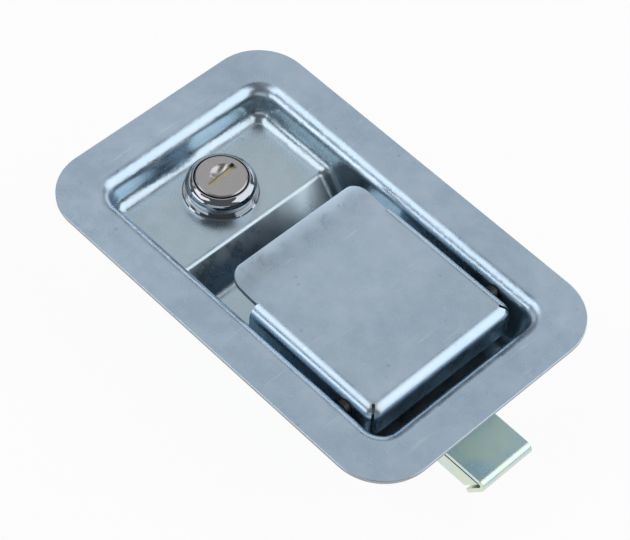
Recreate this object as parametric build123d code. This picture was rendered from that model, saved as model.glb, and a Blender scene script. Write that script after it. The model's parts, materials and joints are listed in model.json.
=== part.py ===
from build123d import *
import os
from math import asin, cos, degrees, radians, sin, tan

# Flush paddle latch, in millimetres.
# Origin: centre of the flange's back face. +X points to the bolt, +Z out of the door.

# ---------------------------------------------------------------- drawn pan
FLANGE_LENGTH = 140.0
FLANGE_WIDTH = 89.0
FLANGE_CORNER_R = 16.0
PAN_SHEET = 1.2
RECESS_LENGTH = 111.4  # at the face, where the wall and face planes meet
RECESS_WIDTH = 60.4
RECESS_CORNER_R = 5.0
WALL_DRAFT = 5.0  # degrees
RIM_ROLL_R = 4.4
FLOOR_BEND_R = 4.0
SHELF_DEPTH = 10.5
SHELF_LENGTH = 30.2
WELL_DEPTH = 19.0
STEP_ANGLE = 45.0  # degrees
STEP_ROLL_R = 2.5
STEP_FOOT_R = 5.0

# ---------------------------------------------------------------- paddle
PADDLE_SHEET = 1.5
PADDLE_LENGTH = 60.0
PADDLE_SIDE_GAP = 2.5
PADDLE_END_GAP = 5.7
PADDLE_ROLL_R = 4.0
SKIRT_FRONT = 12.0  # grip edge to the front of the side flanges
SKIRT_DEPTH = 9.5
EAR_DEPTH = 12.0  # side flange round the pivot
EAR_LENGTH = 11.0
EAR_AHEAD = 4.0  # pivot to the ear's end
EAR_SLOPE = 3.0  # run of its front slope
EAR_REAR_SLOPE = 6.0
LIP_RISE = 2.0
LIP_WIDTH = 50.0
LIP_CORNER_R = 4.8
MITRE_GAP = 0.8
PADDLE_LIFT = 35.0  # degrees

# ---------------------------------------------------------------- pivot
PIN_R = 2.0
PIN_INSET = 10.0  # paddle's end to the pivot
PIN_DEPTH = 5.0  # face to the pivot
PIN_HEAD_R = 2.7
PIN_HEAD_T = 1.0
PIN_HEAD_PLAY = 0.8  # wall to the head and the clip
PIN_TAIL = 0.6  # beyond the clip
PIN_CHAMFER = 0.3
CLIP_T = 0.6
PIN_WASHER_R = 2.4
RUNNING_FIT = 0.06  # radial, pin to hole
TIGHT_FIT = 0.02
SIDE_PLAY = 0.1

# ---------------------------------------------------------------- lever
LEVER_SHEET = 2.0
LEVER_WIDTH = 10.8
LEVER_LENGTH = 21.0  # welded web
LEVER_START = 22.0  # grip edge to the web
LEVER_ARM_DEPTH = 5.0
LEVER_AHEAD = 4.5  # pivot to the lever's end
LEVER_BEND_R = 2.5
SHOULDER_DROP = 3.0  # pivot to the front shoulder
NECK_DROP = 7.5  # pivot to the finger's root
NECK_REACH = 8.0  # pivot back to where the arm narrows
FINGER_WIDTH = 4.0
FINGER_PAST_BOLT = 5.2
FINGER_PLAY = 0.35
WINDOW_SIDE_PLAY = 0.85
WINDOW_CORNER_R = 1.5

# ---------------------------------------------------------------- bolt
BOLT_WIDTH = 19.3
BOLT_HEIGHT = 9.1
BOLT_SHEET = 1.3
BOLT_THROW = 11.5
BOLT_DROP = 0.8  # well floor to the bolt
NOSE_REACH = 6.6  # beyond the flange's end
NOSE_R = 2.2
RAMP_ANGLE = 52.0  # degrees
BOLT_TAIL_WIDTH = 12.0
TAIL_REACH = 57.0  # pivot to the tail's end
CHANNEL_REAR = 5.0  # channel's end to its tab
CHANNEL_INSET = 0.25
CHANNEL_GAP = 1.0  # strip to the channel's legs
CHANNEL_BEND_R = 1.8
SPACER_R = 3.4
TAIL_CORNER_R = 2.0
BOLT_RIVET_R = 2.0
BOLT_RIVET_HEAD_R = 2.9
REAR_RIVET_OFFSET = 16.0  # behind the pivot
FRONT_RIVET_OFFSET = 14.0  # ahead of the pivot

# ---------------------------------------------------------------- bolt guide
GUIDE_SHEET = 1.5
GUIDE_REAR = 36.0  # behind the pivot
GUIDE_FRONT = 2.0  # ahead of the pivot
GUIDE_EDGE = 0.8  # rivet head to the foot's edge
GUIDE_BEND_R = 2.4
GUIDE_SIDE_PLAY = 0.25
GUIDE_BOTTOM_PLAY = 0.3
TONGUE_WIDTH = 10.0
GUIDE_RIVET_R = 2.0
GUIDE_RIVET_HEAD_R = 3.4
GUIDE_RIVET_HEAD_T = 1.1
GUIDE_RIVET_CROWN_R = 2.2
RIVET_MARGIN = 1.2  # rivet head to the guide's ends
GUIDE_CORNER_R = 2.5

# ---------------------------------------------------------------- springs
BOLT_SPRING_R = 2.6  # mean
BOLT_SPRING_WIRE = 0.9
BOLT_SPRING_TURNS = 7
BOLT_SPRING_LENGTH = 25.0  # fitted
SEAT_NIB_LENGTH = 1.5
NIB_CHAMFER = 0.4
NIB_PLAY = 0.15
TAB_OFFSET = 8.6  # rear spacer to the channel's tab
PADDLE_SPRING_WIRE = 1.0
PADDLE_SPRING_PLAY = 0.25  # pin to the coil
PADDLE_SPRING_TURNS = 3
PADDLE_SPRING_LEAN = 50.0  # floor leg's slope in degrees
PADDLE_SPRING_LEG = 6.5
COIL_SPACING = 1.12  # wires from turn to turn
WIRE_SIDES = 8
LEG_OVERLAP = 0.2

# ---------------------------------------------------------------- cam lock
LOCK_INSET = 16.1  # recess end to the lock's axis
LOCK_BASE_R = 11.2
LOCK_BASE_T = 0.9
LOCK_BEVEL = 0.3
LOCK_SIDE_R = 10.1
LOCK_BEZEL_R = 10.45
LOCK_BEZEL_HEIGHT = 4.3  # shelf to the bezel's widest edge
LOCK_BEZEL_BULGE = 0.25
LOCK_RIM_R = 8.7
LOCK_HEIGHT = 6.8  # shelf to the rim
BARREL_R = 9.4
BARREL_FLATS = 16.0
BARREL_LENGTH = 12.1
LOCK_HOLE_PLAY = 0.15
PLUG_HEAD_R = 7.65
PLUG_HEAD_T = 2.7
PLUG_HEAD_PLAY = 0.4
PLUG_PROUD = 0.5  # plug face above the rim
PLUG_CHAMFER = 0.35
PLUG_R = 6.5
KEYWAY_WIDTH = 2.25
KEYWAY_LENGTH = 10.5
KEYWAY_TURN = 5.0  # degrees
KEYWAY_SHIFT = 0.4  # slot's middle from the lock's axis
KEYWAY_DEPTH = 17.0
SCOOP_LENGTH = 7.0
SCOOP_WIDTH = 4.4
SCOOP_DEPTH = 1.1
SCOOP_OFFSET = 1.6  # slot's middle line to the scoop's
SCOOP_SHIFT = 0.8  # along the slot
SHUTTER_T = 0.4
SHUTTER_SUNK = 1.3
SHUTTER_PLAY = 0.1
SHUTTER_KNUCKLE_R = 0.3
WAFERS = 5
WAFER_T = 1.0
WAFER_PITCH = 2.5
WAFER_WIDTH = 4.6
WAFER_PLAY = 0.1
WAFER_HOLE = 9.0
CAM_SQUARE = 7.0
CAM_T = 2.0
CAM_LENGTH = 23.5
CAM_WIDTH = 13.0
CAM_PLAY = 0.05
CAM_SCREW_R = 2.0
CAM_SCREW_HEAD_R = 3.5
CAM_SCREW_HEAD_T = 2.6
CAM_SCREW_CROWN = 0.8
CAM_SCREW_SLOT = 0.9
CAM_SCREW_SLOT_DEPTH = 1.1
CAM_WASHER_R = 5.2
CAM_WASHER_T = 0.9
LOCK_WASHER_R = 12.0
LOCK_WASHER_T = 0.8
LOCK_NUT_FLATS = 22.0
LOCK_NUT_T = 4.0
LOCK_THREAD_PLAY = 0.05

# ---------------------------------------------------------------- places
FACE = PAN_SHEET
SHELF = FACE - SHELF_DEPTH
WELL = FACE - WELL_DEPTH
WELL_UNDER = WELL - PAN_SHEET
RECESS_END = RECESS_LENGTH / 2
STEP_TOP_X = SHELF_LENGTH - RECESS_END
STEP_FOOT_X = STEP_TOP_X + (SHELF - WELL) / tan(radians(STEP_ANGLE))

PADDLE_HALF = RECESS_WIDTH / 2 - PADDLE_SIDE_GAP
PADDLE_END = RECESS_END - PADDLE_END_GAP
GRIP = PADDLE_END - PADDLE_LENGTH
SKIRT_X = GRIP + SKIRT_FRONT
PIN_X = PADDLE_END - PIN_INSET
PIN_Z = FACE - PIN_DEPTH
PADDLE_UNDER = FACE - PADDLE_SHEET
LIP_LENGTH = SKIRT_FRONT + 3 * LIP_CORNER_R

BOLT_TOP = WELL_UNDER - BOLT_DROP
BOLT_UNDER = BOLT_TOP - BOLT_SHEET
BOLT_BOTTOM = BOLT_TOP - BOLT_HEIGHT
LEG_TOP = BOLT_UNDER - CHANNEL_GAP
WEB_TOP = BOLT_BOTTOM + BOLT_SHEET
NOSE_TIP = FLANGE_LENGTH / 2 + NOSE_REACH
NOSE_CORNER = NOSE_TIP - NOSE_R + NOSE_R * tan(radians(90 - RAMP_ANGLE / 2))
TAIL_X = PIN_X - TAIL_REACH
CHANNEL_HALF = BOLT_WIDTH / 2 - CHANNEL_INSET

GUIDE_X0 = PIN_X - GUIDE_REAR
GUIDE_X1 = PIN_X + GUIDE_FRONT
GUIDE_FLOOR = BOLT_BOTTOM - GUIDE_BOTTOM_PLAY
GUIDE_HALF = BOLT_WIDTH / 2 + GUIDE_SIDE_PLAY
RIVET_Y = GUIDE_HALF + GUIDE_SHEET + GUIDE_BEND_R + GUIDE_RIVET_HEAD_R
SPRING_Z = (LEG_TOP + WEB_TOP) / 2
SPRING_X1 = PIN_X - REAR_RIVET_OFFSET - SPACER_R - TAB_OFFSET
SPRING_X0 = SPRING_X1 - BOLT_SPRING_LENGTH

LOCK_X = LOCK_INSET - RECESS_END
LOCK_RIM = SHELF + LOCK_HEIGHT
BARREL_END = SHELF - BARREL_LENGTH
PLUG_FACE = LOCK_RIM + PLUG_PROUD
PLUG_SEAT = PLUG_FACE - PLUG_HEAD_T
SHUTTER_HINGE = KEYWAY_WIDTH / 2 - SHUTTER_KNUCKLE_R - SHUTTER_PLAY / 2
SHUTTER_Z = PLUG_FACE - SHUTTER_SUNK - SHUTTER_T / 2


def wall_half(z, grow=0.0):
    """Half-width of the drafted recess at height z, grown outward by a sheet."""
    return RECESS_WIDTH / 2 - (FACE - z) * tan(radians(WALL_DRAFT)) + grow / cos(radians(WALL_DRAFT))


PIN_SHOULDER = wall_half(PIN_Z + PIN_HEAD_R, PAN_SHEET) + PIN_HEAD_PLAY


def xz_face(*points):
    """Face in the XZ plane from its corner points."""
    return Plane.XZ * make_face(Polyline(*points, close=True))


def slab(face, width):
    """An XZ face thickened equally to both sides."""
    return extrude(face, amount=width / 2, both=True)


def bent_strip(points, radius, sheet, side):
    """XZ section of a strip bent at each middle point, with its outer radius."""
    path = FilletPolyline(*points, radius=radius)
    return Plane.XZ * make_face(offset(path, sheet, side=side).edges())


def cross_hole(radius, x, z):
    """Cutter for a hole along Y through the whole part."""
    return Pos(x, 0, z) * Rot(X=90) * Cylinder(radius, FLANGE_WIDTH)


def drop_hole(radius, x, y):
    """Cutter for a hole along Z through the whole part."""
    return Pos(x, y, WELL) * Cylinder(radius, 4 * WELL_DEPTH)


def finger_reach(top, bottom, travel):
    """How far the swinging fingers reach each way in a sheet between two depths
    under the pivot, when that sheet slides back by travel over the full lift."""
    half = FINGER_WIDTH / 2
    back, ahead = half, half
    for step in range(71):
        share = step / 70
        angle = radians(PADDLE_LIFT * share)
        back = max(back, bottom * tan(angle) + half / cos(angle) - travel * share)
        ahead = max(ahead, travel * share - top * tan(angle) + half / cos(angle))
    return back + FINGER_PLAY, ahead + FINGER_PLAY


def finger_window(top, bottom, travel):
    """Cutter for the window that the fingers pass through."""
    back, ahead = finger_reach(PIN_Z - top, PIN_Z - bottom, travel)
    width = LEVER_WIDTH + 2 * WINDOW_SIDE_PLAY
    hole = extrude(RectangleRounded(back + ahead, width, WINDOW_CORNER_R), amount=top - bottom + 4, both=True)
    return Pos(PIN_X + (ahead - back) / 2, 0, (top + bottom) / 2) * hole


def recess(grow):
    """Solid that fills the recess, grown outward by a sheet thickness."""
    wide = 2 * grow / cos(radians(WALL_DRAFT))
    outline = Pos(0, 0, FACE) * Rectangle(RECESS_LENGTH + wide, RECESS_WIDTH + wide)
    block = extrude(outline, amount=WELL_DEPTH + grow + 1, dir=(0, 0, -1), taper=WALL_DRAFT)
    corners = [edge for edge in block.edges() if abs(edge.tangent_at(0.5).Z) > 0.5]
    block = fillet(corners, RECESS_CORNER_R + grow)
    shift = grow * tan(radians(STEP_ANGLE / 2))
    far = FLANGE_LENGTH
    above = make_face(
        Polyline(
            (-far, far), (-far, SHELF - grow), (STEP_TOP_X - shift, SHELF - grow),
            (STEP_FOOT_X - shift, WELL - grow), (far, WELL - grow), (far, far), close=True,
        )
    )
    for x, z, radius in (
        (STEP_TOP_X, SHELF, STEP_ROLL_R - grow), (STEP_FOOT_X, WELL, STEP_FOOT_R + grow)
    ):
        corner = above.vertices().sort_by_distance((x - shift, z - grow))[0]
        above = fillet(corner, radius)
    block = block & slab(Plane.XZ * above, 2 * FLANGE_WIDTH)
    floor_edges = [
        edge for face in block.faces() if face.normal_at().Z < -0.5 for edge in face.edges()
    ]
    rim = [edge for edge in floor_edges if sum(edge.is_same(other) for other in floor_edges) == 1]
    return fillet(rim, FLOOR_BEND_R + grow)


def rim_edges(shape, z):
    """Edges of the recess opening at height z."""
    return [
        edge for edge in shape.edges().filter_by_position(Axis.Z, z - 0.01, z + 0.01)
        if abs(edge.center().X) < RECESS_END + RIM_ROLL_R
        and abs(edge.center().Y) < RECESS_WIDTH / 2 + RIM_ROLL_R
    ]


def mounting_pan():
    flange = extrude(RectangleRounded(FLANGE_LENGTH, FLANGE_WIDTH, FLANGE_CORNER_R), amount=PAN_SHEET)
    pan = flange + recess(PAN_SHEET)
    pan = fillet(rim_edges(pan, 0), RIM_ROLL_R - PAN_SHEET)
    pan -= recess(0)
    pan = fillet(rim_edges(pan, FACE), RIM_ROLL_R)
    pan -= Pos(LOCK_X, 0, SHELF) * barrel_section(LOCK_HOLE_PLAY, 4 * PAN_SHEET)
    pan -= finger_window(WELL, WELL_UNDER, 0)
    pan -= cross_hole(PIN_R + RUNNING_FIT, PIN_X, PIN_Z)
    for x, y in guide_rivet_places():
        pan -= drop_hole(GUIDE_RIVET_R + RUNNING_FIT, x, y)
    return pan


def paddle_block(inset):
    """Solid under the paddle's skin, shrunk by a sheet thickness."""
    front = SKIRT_X - 2 * inset
    length = PADDLE_END - inset - front
    depth = EAR_DEPTH + PADDLE_ROLL_R
    block = Box(length, 2 * (PADDLE_HALF - inset), depth, align=(Align.MIN, Align.CENTER, Align.MAX))
    block = Pos(front, 0, FACE - inset) * block
    bends = [
        edge for edge in block.edges()
        if edge.center().X > front + 0.01 and edge.center().Z > FACE - inset - depth + 0.01
    ]
    return fillet(bends, PADDLE_ROLL_R - inset)


def paddle():
    shell = paddle_block(0) - paddle_block(PADDLE_SHEET)
    skirt, ear = FACE - SKIRT_DEPTH, FACE - EAR_DEPTH
    ear_x1 = PIN_X + EAR_AHEAD
    ear_x0 = ear_x1 - EAR_LENGTH
    profile = [
        (SKIRT_X, FACE + 1), (SKIRT_X, skirt), (ear_x0 - EAR_REAR_SLOPE, skirt), (ear_x0, ear),
        (ear_x1, ear), (ear_x1 + EAR_SLOPE, skirt), (PADDLE_END + 1, skirt), (PADDLE_END + 1, FACE + 1),
    ]
    shell = shell & slab(xz_face(*profile), FLANGE_WIDTH)
    # curled grip lip
    run = SKIRT_FRONT
    curl_r = (run**2 + LIP_RISE**2) / (2 * LIP_RISE)
    sweep_angle = degrees(asin(run / curl_r))
    centre = (SKIRT_X, FACE + curl_r)
    inner = CenterArc(centre, curl_r, -90 - sweep_angle, sweep_angle)
    outer = CenterArc(centre, curl_r + PADDLE_SHEET, -90 - sweep_angle, sweep_angle)
    section = make_face([inner, outer, Line(inner @ 0, outer @ 0), Line(inner @ 1, outer @ 1)])
    lip = slab(Plane.XZ * section, LIP_WIDTH)
    plan = Pos(GRIP + LIP_LENGTH / 2, 0) * RectangleRounded(LIP_LENGTH, LIP_WIDTH, LIP_CORNER_R)
    shell += lip & extrude(plan, amount=FLANGE_WIDTH, both=True)
    # open mitre where side and end flanges meet
    for side in (-1, 1):
        corner = Pos(PADDLE_END - PADDLE_ROLL_R, side * (PADDLE_HALF - PADDLE_ROLL_R), FACE)
        cut = Box(2 * PADDLE_ROLL_R, MITRE_GAP, 4 * EAR_DEPTH, align=(Align.MIN, Align.CENTER, Align.CENTER))
        shell -= corner * Rot(Z=45 * side) * Pos(MITRE_GAP, 0, 0) * cut
    return shell - cross_hole(PIN_R + RUNNING_FIT, PIN_X, PIN_Z)


def paddle_lever():
    """U-shaped lever: a web welded under the paddle and two fingers."""
    x0 = GRIP + LEVER_START
    x1 = x0 + LEVER_LENGTH
    tip = BOLT_UNDER - FINGER_PAST_BOLT
    half = LEVER_WIDTH / 2
    section = [(-half, tip), (-half, PADDLE_UNDER), (half, PADDLE_UNDER), (half, tip)]
    path = FilletPolyline(*section, radius=LEVER_BEND_R)
    skin = Plane.YZ * make_face(offset(path, LEVER_SHEET, side=Side.RIGHT).edges())
    end = PIN_X + LEVER_AHEAD
    bar = Pos(x0, 0, 0) * extrude(skin, amount=end - x0)
    bar -= Pos(x1, 0, PADDLE_UNDER) * Box(
        FLANGE_WIDTH, LEVER_WIDTH - 2 * LEVER_SHEET, 2 * LEVER_SHEET,
        align=(Align.MIN, Align.CENTER, Align.CENTER),
    )
    w, arm, neck = FINGER_WIDTH / 2, PADDLE_UNDER - LEVER_ARM_DEPTH, PIN_Z - NECK_DROP
    shape = [
        (x0, PADDLE_UNDER), (end, PADDLE_UNDER), (end, PIN_Z - SHOULDER_DROP), (PIN_X + w, neck),
        (PIN_X + w, tip), (PIN_X - w, tip), (PIN_X - w, neck), (PIN_X - NECK_REACH, arm), (x0, arm),
    ]
    side_view = xz_face(*shape)
    side_view = fillet(side_view.vertices().sort_by(Axis.Z)[:2], 0.95 * w)
    bar = bar & slab(side_view, FLANGE_WIDTH)
    return bar - cross_hole(PIN_R + RUNNING_FIT, PIN_X, PIN_Z)


def along_y(radius, y0, y1):
    """Round bar on the pivot axis between two y values."""
    bar = Cylinder(radius, abs(y1 - y0))
    return Pos(PIN_X, (y0 + y1) / 2, PIN_Z) * Rot(X=90) * bar


def pivot_pin():
    shank = along_y(PIN_R, -PIN_SHOULDER - CLIP_T - PIN_TAIL, PIN_SHOULDER)
    head = along_y(PIN_HEAD_R, PIN_SHOULDER, PIN_SHOULDER + PIN_HEAD_T)
    head = fillet(head.edges().sort_by(Axis.Y)[-1], PIN_HEAD_T / 2)
    shank = chamfer(shank.edges().sort_by(Axis.Y)[0], PIN_CHAMFER)
    return shank + head


def pin_clip():
    ring = along_y(PIN_HEAD_R, -PIN_SHOULDER - CLIP_T, -PIN_SHOULDER)
    return ring - cross_hole(PIN_R + TIGHT_FIT, PIN_X, PIN_Z)


def pin_washers():
    y0 = PADDLE_HALF + SIDE_PLAY
    y1 = wall_half(PIN_Z - PIN_WASHER_R) - SIDE_PLAY
    ring = along_y(PIN_WASHER_R, y0, y1) - cross_hole(PIN_R + RUNNING_FIT, PIN_X, PIN_Z)
    return [ring, mirror(ring, Plane.XZ)]


def bolt_rivet_places():
    return [PIN_X - REAR_RIVET_OFFSET, PIN_X + FRONT_RIVET_OFFSET]


def flush_rivet(x, play=0.0):
    """Rivet countersunk in the strip above and in the channel's web below."""
    sink = BOLT_RIVET_HEAD_R - BOLT_RIVET_R
    length = BOLT_TOP - BOLT_BOTTOM
    shank = Cylinder(BOLT_RIVET_R + play, length, align=(Align.CENTER, Align.CENTER, Align.MIN))
    head = Cone(
        BOLT_RIVET_R + play, BOLT_RIVET_HEAD_R + play, sink,
        align=(Align.CENTER, Align.CENTER, Align.MIN),
    )
    rivet = shank + Pos(0, 0, length - sink) * head + Pos(0, 0, sink) * Rot(X=180) * head
    return Pos(x, 0, BOLT_BOTTOM) * rivet


def bolt_face_plate():
    ramp = radians(RAMP_ANGLE)
    points = [
        (TAIL_X, BOLT_TOP), (NOSE_CORNER, BOLT_TOP),
        (NOSE_CORNER - BOLT_HEIGHT / tan(ramp), BOLT_BOTTOM),
    ]
    plate = slab(bent_strip(points, NOSE_R, BOLT_SHEET, Side.RIGHT), BOLT_WIDTH)
    shoulder = GUIDE_X0 - BOLT_THROW / 2
    for side in (-1, 1):
        notch = Box(
            shoulder - TAIL_X, BOLT_WIDTH, 4 * BOLT_SHEET, align=(Align.MIN, Align.MIN, Align.CENTER)
        )
        place = Pos(TAIL_X, side * BOLT_TAIL_WIDTH / 2, BOLT_TOP)
        plate -= place * (notch if side > 0 else mirror(notch, Plane.XZ))
    plate = fillet(plate.edges().filter_by(Axis.Z).group_by(Axis.X)[0], TAIL_CORNER_R)
    plate -= finger_window(BOLT_TOP, BOLT_UNDER, BOLT_THROW)
    for x in bolt_rivet_places():
        plate -= flush_rivet(x, TIGHT_FIT)
    return plate


def bolt_channel():
    """U channel, open upwards, with a bevelled front and a rear tab."""
    half = CHANNEL_HALF
    rear = SPRING_X1 + CHANNEL_REAR
    section = [(-half, LEG_TOP), (-half, BOLT_BOTTOM), (half, BOLT_BOTTOM), (half, LEG_TOP)]
    path = FilletPolyline(*section, radius=CHANNEL_BEND_R)
    skin = Plane.YZ * make_face(offset(path, BOLT_SHEET, side=Side.LEFT).edges())
    channel = Pos(rear, 0, 0) * extrude(skin, amount=NOSE_TIP - rear)
    inset = BOLT_SHEET + CHANNEL_GAP
    corner = NOSE_CORNER - inset / tan(radians(RAMP_ANGLE / 2))
    foot = corner - (LEG_TOP - BOLT_BOTTOM) / tan(radians(RAMP_ANGLE))
    view = xz_face((rear, LEG_TOP), (corner, LEG_TOP), (foot, BOLT_BOTTOM), (rear, BOLT_BOTTOM))
    channel = channel & slab(view, BOLT_WIDTH)
    tab = bent_strip(
        [(rear + BOLT_SHEET, BOLT_BOTTOM), (SPRING_X1, BOLT_BOTTOM), (SPRING_X1, LEG_TOP)],
        CHANNEL_BEND_R, BOLT_SHEET, Side.RIGHT,
    )
    channel += slab(tab, BOLT_TAIL_WIDTH)
    channel += spring_nib(SPRING_X1, -1)
    for x in bolt_rivet_places():
        channel -= flush_rivet(x, TIGHT_FIT)
    return channel


def bolt_spacers():
    height = BOLT_UNDER - WEB_TOP
    tube = Cylinder(SPACER_R, height) - Cylinder(BOLT_RIVET_R + TIGHT_FIT, height)
    return [Pos(x, 0, (BOLT_UNDER + WEB_TOP) / 2) * tube for x in bolt_rivet_places()]


def bolt_rivets():
    return [flush_rivet(x) for x in bolt_rivet_places()]


def spring_nib(x, way):
    """Pressed nib that centres one end of the bolt spring."""
    radius = BOLT_SPRING_R - BOLT_SPRING_WIRE / 2 - NIB_PLAY
    nib = Cylinder(radius, SEAT_NIB_LENGTH, align=(Align.CENTER, Align.CENTER, Align.MIN))
    nib = chamfer(nib.edges().sort_by(Axis.Z)[-1], NIB_CHAMFER)
    return Pos(x, 0, SPRING_Z) * Rot(Y=90 * way) * nib


def guide_rivet_places():
    inset = GUIDE_RIVET_HEAD_R + RIVET_MARGIN
    return [(x, y) for x in (GUIDE_X0 + inset, GUIDE_X1 - inset) for y in (-RIVET_Y, RIVET_Y)]


def bolt_guide():
    """Hat-shaped bracket under the floor; its tongue turns up as the spring seat."""
    half = GUIDE_HALF + GUIDE_SHEET
    low, foot = GUIDE_FLOOR - GUIDE_SHEET, RIVET_Y + GUIDE_RIVET_HEAD_R + GUIDE_EDGE
    under = WELL_UNDER - GUIDE_SHEET
    outer = [(-foot, under), (-half, under), (-half, low), (half, low), (half, under), (foot, under)]
    path = FilletPolyline(*outer, radius=GUIDE_BEND_R)
    skin = Plane.YZ * make_face(offset(path, GUIDE_SHEET, side=Side.LEFT).edges())
    guide = Pos(GUIDE_X0, 0, 0) * extrude(skin, amount=GUIDE_X1 - GUIDE_X0)
    guide = fillet(guide.edges().filter_by(Axis.Z).group_by(SortBy.LENGTH)[0], GUIDE_CORNER_R)
    seat = bent_strip(
        [(GUIDE_X0 + GUIDE_SHEET, low), (SPRING_X0 - GUIDE_SHEET, low), (SPRING_X0 - GUIDE_SHEET, LEG_TOP)],
        GUIDE_BEND_R, GUIDE_SHEET, Side.RIGHT,
    )
    guide += slab(seat, TONGUE_WIDTH)
    guide += spring_nib(SPRING_X0, 1)
    for x, y in guide_rivet_places():
        guide -= drop_hole(GUIDE_RIVET_R + TIGHT_FIT, x, y)
    return guide


def guide_rivets():
    low, high = WELL_UNDER - GUIDE_SHEET, WELL
    shank = Cylinder(GUIDE_RIVET_R, high - low, align=(Align.CENTER, Align.CENTER, Align.MIN))
    head = Cone(
        GUIDE_RIVET_HEAD_R, GUIDE_RIVET_CROWN_R, GUIDE_RIVET_HEAD_T,
        align=(Align.CENTER, Align.CENTER, Align.MIN),
    )
    rivet = shank + Pos(0, 0, high - low) * head + Rot(X=180) * head
    return [Pos(x, y, low) * rivet for x, y in guide_rivet_places()]


def wire_run(start, way, length, wire):
    """Straight run of wire from a point."""
    return extrude(Plane(start, z_dir=way) * RegularPolygon(wire / 2, WIRE_SIDES), amount=length)


def wire_coil(pitch, turns, mean, wire):
    """Coil of wire round +Z that starts on +X."""
    helix = Helix(pitch, pitch * turns, mean)
    section = Plane(helix @ 0, z_dir=helix % 0) * RegularPolygon(wire / 2, WIRE_SIDES)
    return sweep(section, path=helix, is_frenet=True)


def bolt_spring():
    """Compression spring between the guide's seat and the channel's tab."""
    rise = BOLT_SPRING_LENGTH - BOLT_SPRING_WIRE - 2 * SIDE_PLAY
    coil = wire_coil(rise / BOLT_SPRING_TURNS, BOLT_SPRING_TURNS, BOLT_SPRING_R, BOLT_SPRING_WIRE)
    start = SPRING_X0 + SIDE_PLAY + BOLT_SPRING_WIRE / 2
    return Pos(start, 0, SPRING_Z) * Rot(Y=90) * coil


def paddle_spring():
    """Torsion spring on the pin: one leg up under the paddle, one down to the floor."""
    wire = PADDLE_SPRING_WIRE
    mean = PIN_R + PADDLE_SPRING_PLAY + wire / 2
    pitch = wire * COIL_SPACING
    lean = radians(PADDLE_SPRING_LEAN)
    turns = PADDLE_SPRING_TURNS + PADDLE_SPRING_LEAN / 360
    y0 = LEVER_WIDTH / 2 + wire / 2 + PADDLE_SPRING_PLAY
    outward, along = Vector(-sin(lean), 0, cos(lean)), Vector(cos(lean), 0, sin(lean))
    centre = Vector(PIN_X, y0, PIN_Z)
    spring = Plane(centre, x_dir=outward, z_dir=(0, 1, 0)).location * wire_coil(pitch, turns, mean, wire)
    start = centre + outward * mean
    drop = (start.Z - WELL - wire / 2) / sin(lean)
    spring += wire_run(start + along * LEG_OVERLAP, -along, drop + LEG_OVERLAP, wire)
    top = Vector(PIN_X, y0 + pitch * turns, PIN_Z + mean)
    leg = PADDLE_SPRING_LEG + LEG_OVERLAP
    return spring + wire_run(top - Vector(LEG_OVERLAP, 0, 0), (1, 0, 0), leg, wire)


def barrel_section(play, length):
    """Double-D barrel, centred on its middle."""
    section = Circle(BARREL_R + play) & Rectangle(4 * BARREL_R, BARREL_FLATS + 2 * play)
    return extrude(section, amount=length / 2, both=True)


def lock_housing():
    """Chromed head with a sloping bezel, and a double-D barrel with a stepped bore."""
    base, rim = SHELF, LOCK_RIM
    step, edge = base + LOCK_BASE_T, base + LOCK_BEZEL_HEIGHT
    slope = Line((LOCK_BEZEL_R, edge), (LOCK_RIM_R, rim - LOCK_BEVEL))
    corners = [
        (LOCK_RIM_R, rim - LOCK_BEVEL), (LOCK_RIM_R - LOCK_BEVEL, rim), (0, rim), (0, base),
        (LOCK_BASE_R, base), (LOCK_BASE_R, step - LOCK_BEVEL), (LOCK_BASE_R - LOCK_BEVEL, step),
        (LOCK_SIDE_R, step), (LOCK_BEZEL_R, edge),
    ]
    middle = slope @ 0.5 + Vector(LOCK_BEZEL_BULGE, LOCK_BEZEL_BULGE)
    bezel = ThreePointArc(slope @ 0, middle, slope @ 1)
    head = revolve(Plane.XZ * make_face([Polyline(*corners), bezel]), axis=Axis.Z)
    barrel = Pos(0, 0, base - BARREL_LENGTH / 2) * barrel_section(0, BARREL_LENGTH)
    housing = head + barrel
    mouth = PLUG_HEAD_R + PLUG_HEAD_PLAY
    seat = PLUG_SEAT - SIDE_PLAY
    lo = (Align.CENTER, Align.CENTER, Align.MIN)
    housing -= Pos(0, 0, seat) * Cylinder(mouth, LOCK_HEIGHT, align=lo)
    housing -= Cylinder(PLUG_R + RUNNING_FIT, 8 * LOCK_HEIGHT)
    return Pos(LOCK_X, 0, 0) * housing


def keyway(width, length, z0, z1):
    """Upright block on the key slot's line between two heights."""
    block = Box(width, length, z1 - z0, align=(Align.CENTER, Align.CENTER, Align.MIN))
    return Rot(Z=KEYWAY_TURN) * Pos(0, KEYWAY_SHIFT, z0) * block


def scoop():
    """Spindle-shaped cutter for the hollow beside the key slot."""
    half = SCOOP_LENGTH / 2
    radius = (SCOOP_WIDTH**2 / 4 + SCOOP_DEPTH**2) / (2 * SCOOP_DEPTH)
    height = radius - SCOOP_DEPTH
    arc = ThreePointArc((-half, height), (0, radius), (half, height))
    section = make_face([arc, Polyline((half, height), (half, 0), (-half, 0), (-half, height))])
    spindle = Rot(Z=90) * revolve(section, axis=Axis.X)
    return Rot(Z=KEYWAY_TURN) * Pos(-SCOOP_OFFSET, SCOOP_SHIFT, PLUG_FACE + height) * spindle


def wafer_heights():
    top = PLUG_SEAT - WAFER_PITCH
    return [top - WAFER_PITCH * index for index in range(WAFERS)]


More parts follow.
